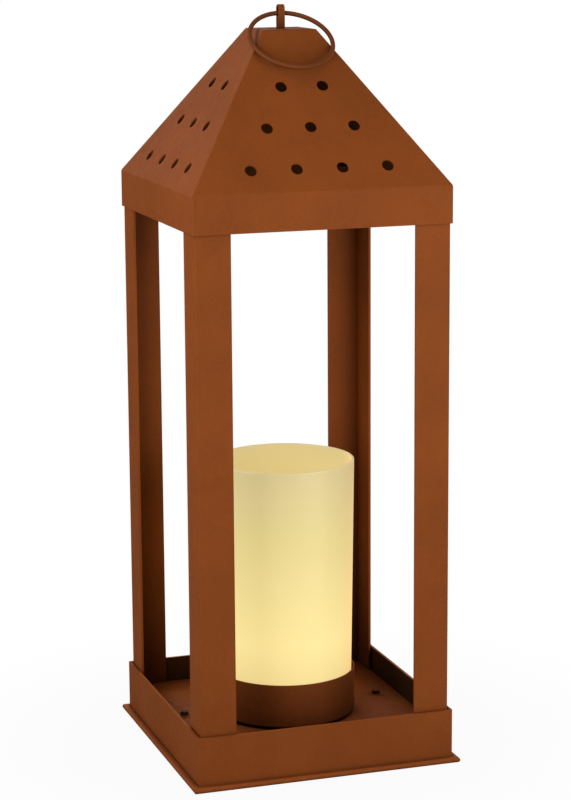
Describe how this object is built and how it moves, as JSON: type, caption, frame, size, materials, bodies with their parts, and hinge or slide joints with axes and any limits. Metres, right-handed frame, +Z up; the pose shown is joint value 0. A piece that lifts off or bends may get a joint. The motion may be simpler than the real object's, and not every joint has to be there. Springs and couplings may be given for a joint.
{
  "type": "post lantern",
  "caption": "Square post lantern with a vented pyramid roof, a swinging carrying ring, and a lift-out opal glass cylinder around an electric bulb.",
  "frame": {"origin": "middle of the base on the surface it stands on", "axes": "+Z up, +X to the right and -Y to the front, the side on which the ring lies"},
  "size_m": [0.222, 0.222, 0.6],
  "materials": {
    "rust_paint": "textured rust-brown powder coat, matt",
    "zinc": "zinc plated steel",
    "brass": "plain brass, slightly dull",
    "opal_glass": "opal ivory glass, satin, lets light through",
    "black_plastic": "black thermoset",
    "white_plastic": "white plastic",
    "black_rubber": "black rubber",
    "led_board": "white coated circuit board",
    "bulb_globe": "milky diffuser, lit warm white from inside",
    "lead_brown": "brown silicone sheath",
    "lead_blue": "blue silicone sheath"
  },
  "bodies": {
    "frame": {"base_frame": "rust_paint", "base_cover": "rust_paint", "floor_plate": "rust_paint", "post_front_left": "rust_paint", "post_front_right": "rust_paint", "post_rear_left": "rust_paint", "post_rear_right": "rust_paint", "roof_shell": "rust_paint", "hanger_eye": "rust_paint", "glass_cup": "rust_paint", "cover_screw_1": "zinc", "cover_screw_2": "zinc", "cover_screw_3": "zinc", "cover_screw_4": "zinc", "channel_left": "zinc", "channel_right": "zinc", "hanger_washer": "zinc", "hanger_nut": "zinc", "terminal_screw": "zinc", "nipple": "brass", "nipple_nut": "brass", "holder_shell": "brass", "centre_contact": "brass", "holder_body": "black_plastic", "holder_insert": "white_plastic", "terminal_block": "white_plastic", "cup_washer": "black_rubber", "glass_gasket": "black_rubber", "cord_grommet": "black_rubber", "lead_live": "lead_brown", "lead_neutral": "lead_blue"},
    "ring": {"carry_ring": "rust_paint"},
    "glass": {"glass_shade": "opal_glass"},
    "bulb_foot": {"bulb_cap": "zinc", "bulb_insulator": "black_plastic", "bulb_contact": "brass"},
    "bulb_head": {"bulb_collar": "white_plastic", "led_board": "led_board", "bulb_globe": "bulb_globe"}
  },
  "joints": [
    {"name": "ring_swing", "type": "hinge", "parent": "frame", "child": "ring", "pos_m": [0, 0, 0.5932], "axis": [-1, 0, 0], "range_deg": [0, 252]},
    {"name": "glass_lift", "type": "slide", "parent": "frame", "child": "glass", "axis": [0, 0, 1], "range_m": [0, 0.15]},
    {"name": "bulb_rise", "type": "slide", "parent": "frame", "child": "bulb_foot", "axis": [0, 0, 1], "range_m": [0, 0.01452]},
    {"name": "bulb_turn", "type": "hinge", "parent": "bulb_foot", "child": "bulb_head", "pos_m": [0, 0, 0.07], "axis": [0, 0, 1], "range_deg": [0, 1440]}
  ],
  "couplings": [
    {"joint": "bulb_rise", "follows": "bulb_turn", "m_per_rad": 0.00057757}
  ]
}
